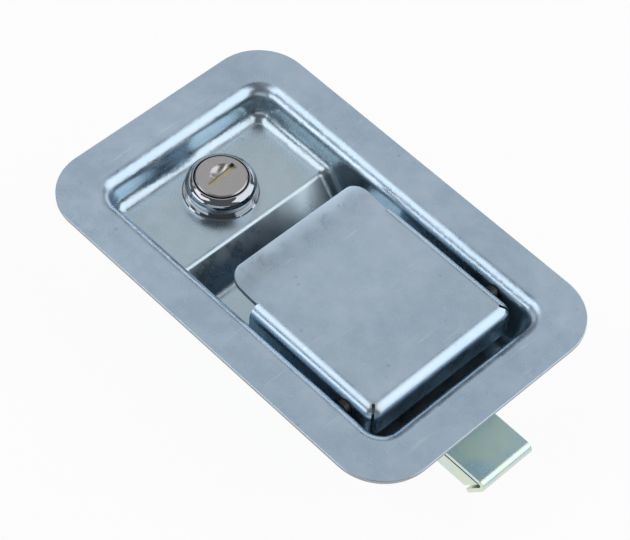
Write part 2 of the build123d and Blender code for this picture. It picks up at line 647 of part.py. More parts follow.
def lock_plug():
    lo = (Align.CENTER, Align.CENTER, Align.MIN)
    head = Pos(0, 0, PLUG_SEAT) * Cylinder(PLUG_HEAD_R, PLUG_HEAD_T, align=lo)
    head = chamfer(head.edges().sort_by(Axis.Z)[-1], PLUG_CHAMFER)
    body = Pos(0, 0, BARREL_END) * Cylinder(PLUG_R, PLUG_SEAT - BARREL_END, align=lo)
    tail_end = BARREL_END - SIDE_PLAY - CAM_T
    tail = Pos(0, 0, tail_end) * Box(CAM_SQUARE, CAM_SQUARE, CAM_T + SIDE_PLAY, align=lo)
    plug = head + body + tail
    plug -= keyway(KEYWAY_WIDTH, KEYWAY_LENGTH, PLUG_FACE - KEYWAY_DEPTH, FACE)
    plug -= scoop()
    for z in wafer_heights():
        half = (WAFER_T + WAFER_PLAY) / 2
        plug -= keyway(WAFER_WIDTH + 2 * WAFER_PLAY, 4 * PLUG_R, z - half, z + half)
    plug -= Pos(0, 0, tail_end) * Cylinder(CAM_SCREW_R, 2 * CAM_T)
    return Pos(LOCK_X, 0, 0) * plug


def wafer_tumblers():
    wafers = []
    for z in wafer_heights():
        z0, z1 = z - WAFER_T / 2, z + WAFER_T / 2
        disc = Pos(0, 0, z) * Cylinder(PLUG_R - WAFER_PLAY, 2 * WAFER_T)
        plate = keyway(WAFER_WIDTH, 4 * PLUG_R, z0, z1) & disc
        wafers.append(Pos(LOCK_X, 0, 0) * (plate - keyway(KEYWAY_WIDTH, WAFER_HOLE, z0 - 1, z1 + 1)))
    return wafers


def dust_shutter():
    """Flap across the key slot, hinged along its +X edge."""
    length = KEYWAY_LENGTH - 2 * SHUTTER_PLAY
    reach = KEYWAY_WIDTH / 2 + SHUTTER_HINGE - SHUTTER_PLAY
    flap = Box(reach, length, SHUTTER_T, align=(Align.MAX, Align.CENTER, Align.CENTER))
    knuckle = Rot(X=90) * Cylinder(SHUTTER_KNUCKLE_R, length)
    place = Rot(Z=KEYWAY_TURN) * Pos(SHUTTER_HINGE, KEYWAY_SHIFT, SHUTTER_Z)
    return Pos(LOCK_X, 0, 0) * place * (flap + knuckle)


def ring(radius, hole, z0, z1):
    """Washer on the lock's axis."""
    washer = Cylinder(radius, z1 - z0) - Cylinder(hole, z1 - z0)
    return Pos(LOCK_X, 0, (z0 + z1) / 2) * washer


def lock_washer():
    top = SHELF - PAN_SHEET
    return ring(LOCK_WASHER_R, BARREL_R + LOCK_HOLE_PLAY, top - LOCK_WASHER_T, top)


def lock_nut():
    top = SHELF - PAN_SHEET - LOCK_WASHER_T
    hexagon = RegularPolygon(LOCK_NUT_FLATS / 2, 6, major_radius=False)
    nut = extrude(hexagon, amount=LOCK_NUT_T) - Cylinder(BARREL_R + LOCK_THREAD_PLAY, 4 * LOCK_NUT_T)
    return Pos(LOCK_X, 0, top - LOCK_NUT_T) * nut


def lock_cam():
    """Flat cam, pointing to +Y when unlocked."""
    top = BARREL_END - SIDE_PLAY
    half = CAM_WIDTH / 2
    arm = Pos(0, (CAM_LENGTH - half) / 2) * Rectangle(CAM_WIDTH, CAM_LENGTH + half)
    arm = fillet(arm.vertices(), 0.92 * half)
    square = CAM_SQUARE + 2 * CAM_PLAY
    cam = extrude(arm - Rectangle(square, square), amount=-CAM_T)
    return Pos(LOCK_X, 0, top) * cam


def cam_washer():
    top = BARREL_END - SIDE_PLAY - CAM_T
    return ring(CAM_WASHER_R, CAM_SCREW_R + SIDE_PLAY, top - CAM_WASHER_T, top)


def cam_screw():
    under = BARREL_END - SIDE_PLAY - CAM_T - CAM_WASHER_T
    lo = (Align.CENTER, Align.CENTER, Align.MAX)
    head = Cylinder(CAM_SCREW_HEAD_R, CAM_SCREW_HEAD_T, align=lo)
    head = chamfer(head.edges().sort_by(Axis.Z)[0], CAM_SCREW_CROWN)
    slot = Pos(0, 0, -CAM_SCREW_HEAD_T) * Box(CAM_SCREW_SLOT, 4 * CAM_SCREW_HEAD_R, 2 * CAM_SCREW_SLOT_DEPTH)
    length = CAM_WASHER_T + CAM_T
    shank = Pos(0, 0, length - SIDE_PLAY) * Cylinder(CAM_SCREW_R - TIGHT_FIT, length, align=lo)
    return Pos(LOCK_X, 0, under) * (head - slot + shank)


NODES = {
    "mounting_pan": mounting_pan,
    "paddle": paddle,
    "paddle_lever": paddle_lever,
    "pivot_pin": pivot_pin,
    "pin_clip": pin_clip,
    "pin_washers": pin_washers,
    "paddle_spring": paddle_spring,
    "bolt_face_plate": bolt_face_plate,
    "bolt_channel": bolt_channel,
    "bolt_spacers": bolt_spacers,
    "bolt_rivets": bolt_rivets,
    "bolt_guide": bolt_guide,
    "guide_rivets": guide_rivets,
    "bolt_spring": bolt_spring,
    "lock_housing": lock_housing,
    "lock_plug": lock_plug,
    "dust_shutter": dust_shutter,
    "wafer_tumblers": wafer_tumblers,
    "lock_washer": lock_washer,
    "lock_nut": lock_nut,
    "lock_cam": lock_cam,
    "cam_washer": cam_washer,
    "cam_screw": cam_screw,
}

os.makedirs("parts", exist_ok=True)
for name, build in NODES.items():
    made = build()
    pieces = made if isinstance(made, list) else [made]
    export_step(Compound([solid for piece in pieces for solid in piece.solids()]), f"parts/{name}.step")
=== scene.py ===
"""Looks of the flush paddle latch: its finishes, the pieces that finer modelling
gives it, and the table and lights that it is shown on."""

import json
import math
from functools import cached_property

import bpy
from mathutils import Matrix, Vector


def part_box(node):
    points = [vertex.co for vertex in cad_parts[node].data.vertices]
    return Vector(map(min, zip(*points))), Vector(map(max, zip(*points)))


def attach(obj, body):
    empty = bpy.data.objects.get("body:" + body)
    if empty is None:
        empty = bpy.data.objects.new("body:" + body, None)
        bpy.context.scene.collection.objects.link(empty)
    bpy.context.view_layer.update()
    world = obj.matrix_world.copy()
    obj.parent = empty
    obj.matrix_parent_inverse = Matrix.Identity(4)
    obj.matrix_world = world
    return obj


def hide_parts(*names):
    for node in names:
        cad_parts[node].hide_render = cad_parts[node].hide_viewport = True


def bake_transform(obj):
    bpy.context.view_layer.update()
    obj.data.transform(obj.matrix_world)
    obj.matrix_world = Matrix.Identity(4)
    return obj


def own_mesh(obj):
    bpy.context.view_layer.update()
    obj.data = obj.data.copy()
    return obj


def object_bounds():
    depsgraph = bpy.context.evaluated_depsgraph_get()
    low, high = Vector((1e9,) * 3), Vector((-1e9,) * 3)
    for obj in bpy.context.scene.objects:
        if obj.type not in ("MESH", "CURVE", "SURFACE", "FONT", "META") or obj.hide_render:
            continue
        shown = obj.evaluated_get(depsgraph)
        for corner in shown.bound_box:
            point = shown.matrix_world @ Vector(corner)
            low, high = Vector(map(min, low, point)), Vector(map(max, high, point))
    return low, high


bl_info = {
    "name": "Flush Paddle Latch",
    "version": (1, 0, 0),
    "blender": (4, 5, 0),
    "location": "View3D > Sidebar > Paddle Latch",
    "description": "Finishes and fine pieces of a zinc-plated paddle latch with a cam lock",
    "category": "Object",
}

MM = 0.001

# Near-black painted into the gap round the lock's plug: painted shade.
GAP_PAINTED_SHADE = (0.012, 0.013, 0.015, 1.0)
WHITE = (1.0, 1.0, 1.0, 1.0)
PLATED_RIVET = (0.55, 0.58, 0.58)
# Near-black on the pivot pin and its washers: painted shade of the gap between paddle and
# pan.
PIN_PAINTED_SHADE = (0.05, 0.055, 0.06)

# Edges sharper than these stay crisp, on sheet, on wire and thread, and on the nut.
SHEET_SHARP, WIRE_SHARP, NUT_SHARP = (math.radians(a) for a in (38, 40, 25))
BROKEN_EDGE = math.radians(55)
COPLANAR = math.radians(0.2)
WELD_GAP = 0.002 * MM

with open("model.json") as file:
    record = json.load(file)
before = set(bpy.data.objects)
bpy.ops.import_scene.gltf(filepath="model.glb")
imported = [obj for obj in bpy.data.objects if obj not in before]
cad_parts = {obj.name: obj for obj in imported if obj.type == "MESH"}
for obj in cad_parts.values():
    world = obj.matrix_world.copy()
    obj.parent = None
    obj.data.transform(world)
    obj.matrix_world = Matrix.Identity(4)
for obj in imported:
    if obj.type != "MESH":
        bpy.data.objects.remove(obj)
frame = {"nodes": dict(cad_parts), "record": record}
CAD_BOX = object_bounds()
NODES = frame["nodes"]


# ------------------------------------------------------------------ shader maths


class Signal:
    """A socket in a material, on which plain arithmetic adds Math nodes."""

    def __init__(self, finish, socket):
        self.finish = finish
        self.socket = socket

    def math(self, operation, *others):
        values = dict(enumerate([self, *others]))
        return self.finish.node("ShaderNodeMath", {"operation": operation}, values)

    def __add__(self, other):
        return self.math("ADD", other)

    def __sub__(self, other):
        return self.math("SUBTRACT", other)

    def __mul__(self, other):
        return self.math("MULTIPLY", other)

    def __pow__(self, other):
        return self.math("POWER", other)

    def __rsub__(self, other):
        return (self * -1.0) + other

    __radd__ = __add__
    __rmul__ = __mul__

    def most(self, other):
        return self.math("MAXIMUM", other)

    def size(self):
        return self.math("ABSOLUTE")

    def rise(self, low, high, start=0.0, end=1.0):
        """Smooth step from start at low to end at high."""
        settings = {"interpolation_type": "SMOOTHSTEP"}
        values = {
            "Value": self, "From Min": low, "From Max": high, "To Min": start, "To Max": end,
        }
        return self.finish.node("ShaderNodeMapRange", settings, values)

    def split(self):
        """The three parts of a vector."""
        return self.finish.node("ShaderNodeSeparateXYZ", {}, {"Vector": self}).siblings()

    def siblings(self):
        """Every output of the node that this socket belongs to."""
        return [Signal(self.finish, socket) for socket in self.socket.node.outputs]


class Finish:
    """A material under construction."""

    def __init__(self, name):
        self.material = bpy.data.materials.new(name)
        self.material.use_nodes = True
        self.tree = self.material.node_tree
        self.tree.nodes.clear()

    @cached_property
    def place(self):
        return self.node("ShaderNodeTexCoord", {}, {}, "Object")

    @cached_property
    def normal(self):
        return self.node("ShaderNodeTexCoord", {}, {}, "Normal")

    def node(self, kind, settings, values, output=0):
        """Adds one node: settings first, then its sockets' values or links."""
        made = self.tree.nodes.new(kind)
        for name, value in settings.items():
            if name == "stops":
                fill_ramp(made.color_ramp, value)
            else:
                setattr(made, name, value)
        for key, value in values.items():
            if isinstance(value, Signal):
                self.tree.links.new(value.socket, made.inputs[key])
            else:
                made.inputs[key].default_value = value
        return Signal(self, made.outputs[output]) if made.outputs else None

    def noise(self, scale, detail=2.0, roughness=0.5, place=None):
        """Soft noise from 0 to 1, with scale in cells a metre."""
        values = {
            "Vector": place or self.place, "Scale": scale, "Detail": detail,
            "Roughness": roughness,
        }
        return self.node("ShaderNodeTexNoise", {"noise_dimensions": "3D"}, values)

    def near(self, point, inner, outer):
        """1 within inner of a point, 0 beyond outer."""
        away = self.node(
            "ShaderNodeVectorMath", {"operation": "DISTANCE"}, {0: self.place, 1: point},
            "Value",
        )
        return away.rise(inner, outer, 1.0, 0.0)

    def blend(self, factor, first, second):
        """Colour between two colours."""
        settings = {"data_type": "RGBA", "blend_type": "MIX"}
        values = {"Factor": factor, 6: first, 7: second}
        return self.node("ShaderNodeMix", settings, values, 2)

    def bump(self, height, strength, distance, normal=None):
        """Relief of a height map, laid over another relief if one is given."""
        values = {"Height": height, "Strength": strength, "Distance": distance}
        if normal is not None:
            values["Normal"] = normal
        return self.node("ShaderNodeBump", {}, values)

    def surface(self, **values):
        """Ends the material in one Principled surface."""
        sockets = {name.replace("_", " "): value for name, value in values.items()}
        shader = self.node("ShaderNodeBsdfPrincipled", {}, sockets)
        self.node("ShaderNodeOutputMaterial", {}, {"Surface": shader})
        return self.material


def fill_ramp(ramp, stops):
    """Sets a colour ramp's stops from (position, colour) pairs."""
    while len(ramp.elements) < len(stops):
        ramp.elements.new(0.5)
    for element, (position, colour) in zip(ramp.elements, stops):
        element.position = position
        element.color = colour


def shade(colour, factor):
    """A linear colour made lighter or darker."""
    return tuple(min(1.0, part * factor) for part in colour[:3]) + (1.0,)


# ------------------------------------------------------------------ properties


class LatchFinishProps(bpy.types.PropertyGroup):
    """Colours and gloss of the latch."""

    zinc: bpy.props.FloatVectorProperty(
        name="Zinc", description="Blue-grey of the plated sheet", subtype="COLOR",
        size=3, min=0, max=1, default=(0.43, 0.56, 0.705),
    )
    zinc_pale: bpy.props.FloatVectorProperty(
        name="Pale zinc", description="Paler cloud in the plating", subtype="COLOR",
        size=3, min=0, max=1, default=(0.61, 0.745, 0.895),
    )
    zinc_green: bpy.props.FloatVectorProperty(
        name="Passivated zinc", description="Green-yellow tint of the passivation",
        subtype="COLOR", size=3, min=0, max=1, default=(0.60, 0.70, 0.64),
    )
    bolt_blue: bpy.props.FloatVectorProperty(
        name="Bolt blue", description="Blue-green margin of the bolt's plating",
        subtype="COLOR", size=3, min=0, max=1, default=(0.55, 0.68, 0.72),
    )
    bolt_gold: bpy.props.FloatVectorProperty(
        name="Bolt gold", description="Straw-green patch in the bolt's plating",
        subtype="COLOR", size=3, min=0, max=1, default=(0.70, 0.76, 0.60),
    )
    smudge: bpy.props.FloatVectorProperty(
        name="Smudge", description="Rosy stain on the plating", subtype="COLOR",
        size=3, min=0, max=1, default=(0.52, 0.50, 0.56),
    )
    stain: bpy.props.FloatVectorProperty(
        name="Stain", description="Brown mark at the paddle's open corner", subtype="COLOR",
        size=3, min=0, max=1, default=(0.42, 0.38, 0.33),
    )
    raw_edge: bpy.props.FloatVectorProperty(
        name="Cut edge", description="Dull steel where the sheet was cut", subtype="COLOR",
        size=3, min=0, max=1, default=(0.34, 0.31, 0.28),
    )
    gloss: bpy.props.FloatProperty(
        name="Roughness", description="Mean roughness of the plating",
        subtype="FACTOR", min=0.05, max=0.9, default=0.31,
    )
    chrome: bpy.props.FloatVectorProperty(
        name="Chrome", description="Bright plating of the lock's head", subtype="COLOR",
        size=3, min=0, max=1, default=(0.45, 0.485, 0.53),
    )
    nickel: bpy.props.FloatVectorProperty(
        name="Nickel", description="Satin plating of the lock's plug", subtype="COLOR",
        size=3, min=0, max=1, default=(0.48, 0.47, 0.48),
    )
    brass: bpy.props.FloatVectorProperty(
        name="Brass", description="Shutter and wafers", subtype="COLOR",
        size=3, min=0, max=1, default=(0.58, 0.54, 0.40),
    )
    steel: bpy.props.FloatVectorProperty(
        name="Spring steel", description="Wire of the springs", subtype="COLOR",
        size=3, min=0, max=1, default=(0.42, 0.42, 0.41),
    )


class LatchSizeProps(bpy.types.PropertyGroup):
    """Sizes of the latch's fine pieces."""

    edge_break: bpy.props.FloatProperty(
        name="Edge break", description="Width of the worn edge on cut sheet",
        default=0.22 * MM, min=0.0, unit="LENGTH",
    )
    spring_wire: bpy.props.FloatProperty(
        name="Spring wire", description="Diameter of the bolt spring's wire",
        default=0.9 * MM, min=0.0, unit="LENGTH",
    )
    spring_turns: bpy.props.FloatProperty(
        name="Spring turns", description="Turns in the bolt's spring", default=7.0, min=1.0,
    )
    paddle_wire: bpy.props.FloatProperty(
        name="Paddle spring wire", description="Diameter of the torsion spring's wire",
        default=1.0 * MM, min=0.0, unit="LENGTH",
    )
    paddle_coil_radius: bpy.props.FloatProperty(
        name="Paddle coil radius", description="Mean radius of the torsion spring",
        default=2.75 * MM, min=0.0, unit="LENGTH",
    )
    paddle_turns: bpy.props.IntProperty(
        name="Paddle spring turns", description="Whole turns in the torsion spring",
        default=3, min=1,
    )
    paddle_leg_lean: bpy.props.FloatProperty(
        name="Leg slope", description="Slope of the torsion spring's floor leg",
        default=math.radians(50), unit="ROTATION",
    )
    thread_pitch: bpy.props.FloatProperty(
        name="Thread pitch", description="Pitch of the lock barrel's thread",
        default=1.0 * MM, min=0.0, unit="LENGTH",
    )
    barrel_radius: bpy.props.FloatProperty(
        name="Barrel radius", description="Radius of the lock's barrel",
        default=9.4 * MM, min=0.0, unit="LENGTH",
    )
    barrel_flats: bpy.props.FloatProperty(
        name="Barrel flats", description="Distance across the barrel's two flats",
        default=16.0 * MM, min=0.0, unit="LENGTH",
    )


class LatchStageProps(bpy.types.PropertyGroup):
    """Table, lights and camera."""

    table: bpy.props.FloatVectorProperty(
        name="Table", description="Colour of the floor", subtype="COLOR",
        size=3, min=0, max=1, default=(0.9, 0.9, 0.9),
    )
    whiteness: bpy.props.FloatProperty(
        name="Whiteness", description="How far the floor shows as plain white",
        subtype="FACTOR", min=0, max=1, default=0.94,
    )
    sky: bpy.props.FloatProperty(
        name="Room light", description="Brightness of the room", min=0, max=2, default=0.14,
    )
    lens: bpy.props.FloatProperty(
        name="Lens", description="Focal length in millimetres", min=20, max=300,
        default=136.11,
    )


# ------------------------------------------------------------------ finishes


def zinc_finish(name, tint, deep, cloud, seed, stain=None):
    """Zinc-plated sheet: cloudy blue-grey with pits, rubbed streaks and raw cut edges.

    tint and deep are the shares of the green passivation on top and down in the recess,
    cloud is the strength of the pale clouds, seed moves the pattern, and stain is the
    point of a brown handling mark."""
    props = bpy.context.scene.latch_finish
    make = Finish(name)
    place = make.node(
        "ShaderNodeVectorMath", {"operation": "ADD"}, {0: make.place, 1: (seed, seed, seed)}
    )
    clouds = make.noise(38.0, 3.0, 0.55, place).rise(0.35, 0.68)
    wisps = make.noise(190.0, 4.0, 0.62, place).rise(0.3, 0.72)
    specks = make.noise(2600.0, 2.0, 0.5, place).rise(0.35, 0.7)
    tinted = make.noise(26.0, 2.0, 0.5, place).rise(0.42, 0.7)
    colour = make.blend(
        clouds * (0.5 * cloud) + wisps * (0.5 * cloud) + specks * 0.03,
        (*props.zinc, 1), (*props.zinc_pale, 1),
    )
    sunk = make.place.split()[2].rise(0.2 * MM, -2.0 * MM)
    green = (tinted * 0.3 + 0.7) * (sunk * (deep - tint) + tint)
    colour = make.blend(green, colour, (*props.zinc_green, 1))
    pits = speckle(make, place, 420.0, 0.05)
    streaks = rubbed_streaks(make, place)
    smudge = make.noise(75.0, 4.0, 0.7, place).rise(0.60, 0.72)
    colour = make.blend(smudge * 0.25, colour, (*props.smudge, 1))
    colour = make.blend(pits * 0.28, colour, shade(props.zinc, 0.45))
    colour = make.blend(streaks * 0.45, colour, shade(props.zinc_pale, 1.2))
    if stain:
        mark = make.near(stain, 1.2 * MM, 4.2 * MM) * (wisps * 0.6 + 0.4)
        colour = make.blend(mark * 0.55, colour, (*props.stain, 1))
    cut = raw_edge(make)
    colour = make.blend(cut * 0.8, colour, (*props.raw_edge, 1))
    rough = clouds * 0.06 + wisps * 0.09 + specks * 0.02 + pits * 0.1 + cut * 0.15
    grain = make.bump(make.noise(1100.0, 3.0, 0.6, place), 0.02, 0.04 * MM)
    waves = make.bump(make.noise(120.0, 2.0, 0.5, place), 0.1, 0.3 * MM, grain)
    return make.surface(
        Base_Color=colour, Metallic=1.0, Roughness=rough + (props.gloss - 0.09),
        Normal=waves,
    )


def bolt_finish(name):
    """Zinc with the green and gold patches of its passivation."""
    props = bpy.context.scene.latch_finish
    make = Finish(name)
    patches = make.noise(62.0, 2.0, 0.5).rise(0.36, 0.60)
    wisps = make.noise(240.0, 4.0, 0.62).rise(0.3, 0.72)
    colour = make.blend(patches, (*props.bolt_blue, 1), (*props.bolt_gold, 1))
    colour = make.blend(wisps * 0.2, colour, shade(props.bolt_gold, 1.2))
    rough = patches * 0.05 + wisps * 0.08 + (props.gloss - 0.08)
    waves = make.bump(make.noise(150.0, 2.0, 0.5), 0.08, 0.2 * MM)
    return make.surface(Base_Color=colour, Metallic=1.0, Roughness=rough, Normal=waves)


def paddle_corner():
    """Where hands have browned the paddle, at its open corner on -Y."""
    low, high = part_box("paddle")
    return (high.x - 2.2 * MM, low.y + 2.2 * MM, high.z - 1.0 * MM)


def speckle(make, place, scale, share):
    """Small round specks in a share of the cells of a loose grid."""
    cells = make.node(
        "ShaderNodeTexVoronoi", {"feature": "F1"}, {"Vector": place, "Scale": scale}
    )
    distance, colour = cells.siblings()[:2]
    chosen = colour.split()[0].rise(1.0 - share, 1.0 - 0.8 * share)
    return distance.rise(0.12, 0.3, 1.0, 0.0) * chosen


def rubbed_streaks(make, place):
    """Fine short scratches that run in two directions across the sheet."""
    marks = None
    for turn, width in ((0.5, 900.0), (-0.9, 1300.0)):
        drawn = make.node(
            "ShaderNodeMapping", {"vector_type": "POINT"},
            {"Vector": place, "Rotation": (0.0, 0.0, turn), "Scale": (width, 40.0, 200.0)},
        )
        line = make.noise(1.0, 2.0, 0.5, drawn).rise(0.66, 0.74)
        marks = line if marks is None else marks.most(line)
    return marks * make.noise(60.0, 2.0, 0.5, place).rise(0.45, 0.6)


def raw_edge(make):
    """1 on the flange's cut edge, 0 elsewhere."""
    height = make.place.split()[2]
    upright = make.normal.split()[2].size().rise(0.25, 0.5, 1.0, 0.0)
    return upright * height.rise(-0.3 * MM, 0.0)


def lock_radius(make):
    """Distance from the lock's axis, in metres."""
    low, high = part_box("lock_plug")
    centre = (low + high) / 2
    east, north, _ = make.place.split()
    east, north = east - centre.x, north - centre.y
    return (east * east + north * north) ** 0.5


def chrome_finish():
    """Mirror plating, with painted shade in the groove round the plug."""
    props = bpy.context.scene.latch_finish
    make = Finish("bright_chrome")
    haze = make.noise(900.0, 3.0, 0.5).rise(0.35, 0.75)
    # Painted shade in the groove between the plug and the bezel, made by distance from the
    # lock's axis.
    groove = lock_radius(make).rise(8.05 * MM, 8.2 * MM, 1.0, 0.0)
    return make.surface(
        Base_Color=make.blend(groove * 0.95, (*props.chrome, 1), GAP_PAINTED_SHADE), Metallic=1.0,
        Roughness=haze * 0.03 + groove * 0.3 + 0.05,
        Normal=make.bump(make.noise(260.0, 2.0, 0.5), 0.08, 0.1 * MM),
    )


def nickel_finish():
    """Satin plating with a fine turned grain, and painted shade down the plug's side."""
    props = bpy.context.scene.latch_finish
    make = Finish("satin_nickel")
    haze = make.noise(700.0, 4.0, 0.6).rise(0.3, 0.75)
    colour = make.blend(haze * 0.5, (*props.nickel, 1), shade(props.nickel, 1.12))
    # Painted shade on the plug's upright side, down in the gap of the bore.
    side = make.normal.split()[2].size().rise(0.3, 0.6, 1.0, 0.0)
    side = side * lock_radius(make).rise(7.3 * MM, 7.5 * MM)
    return make.surface(
        Base_Color=make.blend(side * 0.95, colour, GAP_PAINTED_SHADE), Metallic=1.0,
        Roughness=haze * 0.1 + side * 0.2 + 0.26,
        Normal=make.bump(make.noise(2200.0, 2.0, 0.5), 0.06, 0.03 * MM),
    )


def metal_finish(name, colour, rough):
    """A plain metal with fine mottling."""
    make = Finish(name)
    haze = make.noise(1500.0, 3.0, 0.6).rise(0.3, 0.75)
    tone = make.blend(haze * 0.6, shade(colour, 0.88), shade(colour, 1.12))
    return make.surface(
        Base_Color=tone, Metallic=1.0, Roughness=haze * 0.1 + rough,
        Normal=make.bump(haze, 0.12, 0.03 * MM),
    )


def paint(obj, material):
    """Leaves an object with this one material."""
    obj.data.materials.clear()
    obj.data.materials.append(material)


# ------------------------------------------------------------------ pieces


# Each sheet solid, with the body it rides on and its slot.
SHEET_NODES = {
    "mounting_pan": ("pan", "zinc_pan"), "paddle": ("paddle", "zinc_paddle"),
    "bolt_face_plate": ("bolt", "zinc_bolt"), "bolt_channel": ("bolt", "zinc_bolt"),
    "bolt_guide": ("pan", "zinc_inner"), "lock_cam": ("plug", "zinc_inner"),
    "paddle_lever": ("paddle", "zinc_inner"),
}


def record_joint(name):
    """A joint's entry in the part's record."""
    joints = frame["record"]["behaviour"]["joints"]
    return next(entry for entry in joints if entry["name"] == name)


def pick(*objects):
    """Selects only these objects, the last one active."""
    bpy.ops.object.select_all(action="DESELECT")
    for obj in objects:
        obj.select_set(True)
        bpy.context.view_layer.objects.active = obj


def settle_free(obj, name):
    """Names a finished piece and puts its place into its mesh."""
    pick(obj)
    bpy.ops.object.transform_apply(location=True, rotation=True, scale=True)
    obj.name = obj.data.name = name


def settle(obj, name, body):
    """Finishes a piece that rides on one body."""
    settle_free(obj, name)
    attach(obj, body)


def apply_all(obj):
    """Applies a piece's modifiers from the top down."""
    pick(obj)
    for modifier in list(obj.modifiers):
        bpy.ops.object.modifier_apply(modifier=modifier.name)


def pick_vertices(obj, chosen):
    """Selects in a mesh only the vertices that pass a test."""
    mesh = obj.data
    for vertex in mesh.vertices:
        vertex.select = chosen(vertex.co)
    for edge in mesh.edges:
        edge.select = all(mesh.vertices[i].select for i in edge.vertices)
    for face in mesh.polygons:
        face.select = False


def wound(sides, radius, mean, pitch, turns, steps):
    """A regular section swept about Z into a coil with open ends, in steps a turn."""
    pick()
    bpy.ops.mesh.primitive_circle_add(vertices=sides, radius=radius)
    coil = bpy.context.object
    bpy.ops.object.mode_set(mode="EDIT")
    bpy.ops.mesh.select_all(action="SELECT")
    bpy.ops.transform.rotate(
        value=math.pi / 2, orient_axis="X", center_override=(0.0, 0.0, 0.0)
    )
    bpy.ops.transform.translate(value=(mean, 0.0, 0.0))
    bpy.ops.object.mode_set(mode="OBJECT")
    sweep = coil.modifiers.new("sweep", "SCREW")
    sweep.axis = "Z"
    sweep.angle = 2 * math.pi * turns
    sweep.screw_offset = pitch * turns
    sweep.steps = sweep.render_steps = round(steps * turns)
    apply_all(coil)
    return coil


def keep_between(obj, axis, low, high):
    """Cuts a closed piece off square at two places along an axis and caps the cuts."""
    pick(obj)
    bpy.ops.object.mode_set(mode="EDIT")
    for place, way in ((low, -1.0), (high, 1.0)):
        point, normal = [0.0, 0.0, 0.0], [0.0, 0.0, 0.0]
        point[axis], normal[axis] = place, way
        bpy.ops.mesh.select_all(action="SELECT")
        bpy.ops.mesh.bisect(
            plane_co=point, plane_no=normal, clear_outer=True, use_fill=True
        )
    bpy.ops.object.mode_set(mode="OBJECT")


class LATCH_OT_sheet(bpy.types.Operator):
    """Break the sharp edges of the pressed sheet pieces."""

    bl_idname = "latch.sheet"
    bl_label = "Break Sheet Edges"

    def execute(self, context):
        props = context.scene.latch_sizes
        for node, (body, slot) in SHEET_NODES.items():
            pick(NODES[node])
            bpy.ops.object.duplicate()
            sheet = context.object
            sheet.parent = None
            bpy.ops.object.mode_set(mode="EDIT")
            bpy.ops.mesh.select_all(action="SELECT")
            bpy.ops.mesh.customdata_custom_splitnormals_clear()
            bpy.ops.mesh.remove_doubles(threshold=WELD_GAP)
            bpy.ops.mesh.dissolve_limited(angle_limit=COPLANAR)
            bpy.ops.object.mode_set(mode="OBJECT")
            bpy.ops.object.shade_smooth_by_angle(angle=SHEET_SHARP)
            edge = sheet.modifiers.new("broken edge", "BEVEL")
            edge.width = props.edge_break
            edge.segments = 2
            edge.limit_method = "ANGLE"
            edge.angle_limit = BROKEN_EDGE
            edge.use_clamp_overlap = True
            even = sheet.modifiers.new("even shading", "WEIGHTED_NORMAL")
            even.keep_sharp = True
            even.weight = 100
            apply_all(sheet)
            settle(sheet, node + "_sheet", body)
            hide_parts(node)
        return {"FINISHED"}


class LATCH_OT_spring(bpy.types.Operator):
    """Wind the bolt's return spring and the paddle's torsion spring from round wire."""

    bl_idname = "latch.spring"
    bl_label = "Wind the Springs"

    def execute(self, context):
        sizes = context.scene.latch_sizes
        add_bolt_coil(sizes)
        add_paddle_coil(sizes)
        return {"FINISHED"}


def add_bolt_coil(sizes):
    """Compression spring of the bolt's return, wound to the length of the solid spring that
    it replaces.
    """
    low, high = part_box("bolt_spring")
    middle, length = (low + high) / 2, high.x - low.x
    wire, turns = sizes.spring_wire, sizes.spring_turns
    mean = (high.z - low.z - wire) / 2
    coil = wound(
        sides=16, radius=wire / 2, mean=mean, pitch=(length - wire) / turns, turns=turns,
        steps=32,
    )
    close_ends(coil)
    coil.rotation_euler = (0.0, math.pi / 2, 0.0)
    coil.location = (low.x + wire / 2, middle.y, middle.z)
    settle(coil, "bolt_return_coil", "pan")
    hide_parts("bolt_spring")
    throw = record_joint("bolt_slide")["range_m"][1]
    pressed = (length - throw) / length
    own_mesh(coil)


def add_paddle_coil(sizes):
    """Torsion spring round the paddle's pin, with one leg sloping down to the floor and the
    other running straight out along X.
    """
    low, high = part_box("paddle_spring")
    wire, mean = sizes.paddle_wire, sizes.paddle_coil_radius
    pin = Vector(record_joint("paddle_lift")["pos_m"])
    lean = sizes.paddle_leg_lean
    outward = Vector((-math.sin(lean), 0.0, math.cos(lean)))
    along = Vector((math.cos(lean), 0.0, math.sin(lean)))
    span = high.y - low.y - wire
    turns = sizes.paddle_turns + math.degrees(lean) / 360
    centre = Vector((pin.x, low.y + wire / 2, pin.z))
    coil = wound(
        sides=14, radius=wire / 2, mean=mean, pitch=span / turns, turns=turns, steps=36
    )
    turn = Matrix((outward, along, Vector((0.0, 1.0, 0.0)))).transposed()
    coil.rotation_mode = "QUATERNION"
    coil.rotation_quaternion = turn.to_quaternion()
    coil.location = centre
    pick(coil)
    bpy.ops.object.transform_apply(location=True, rotation=True, scale=True)
    start = centre + outward * mean
    reach = (start.z - low.z - wire / 2 * math.cos(lean)) / math.sin(lean)
    top = centre + Vector((0.0, span, mean))
    for end, leg in ((start, -along * reach), (top, Vector((high.x - top.x, 0.0, 0.0)))):
        draw_out(coil, end, wire, leg)
    close_ends(coil)
    settle_free(coil, "paddle_return_coil")
    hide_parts("paddle_spring")
    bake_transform(coil)


def draw_out(coil, end, wire, leg):
    """Extrudes the open wire end that lies at a point into a straight leg."""
    way = leg.normalized()

    def on_end(place):
        away = place - end
        return away.length < 0.7 * wire and abs(away.dot(way)) < 0.08 * wire

    pick_vertices(coil, on_end)
    pick(coil)
    bpy.ops.object.mode_set(mode="EDIT")
    bpy.ops.mesh.extrude_edges_move(TRANSFORM_OT_translate={"value": tuple(leg)})
    bpy.ops.object.mode_set(mode="OBJECT")


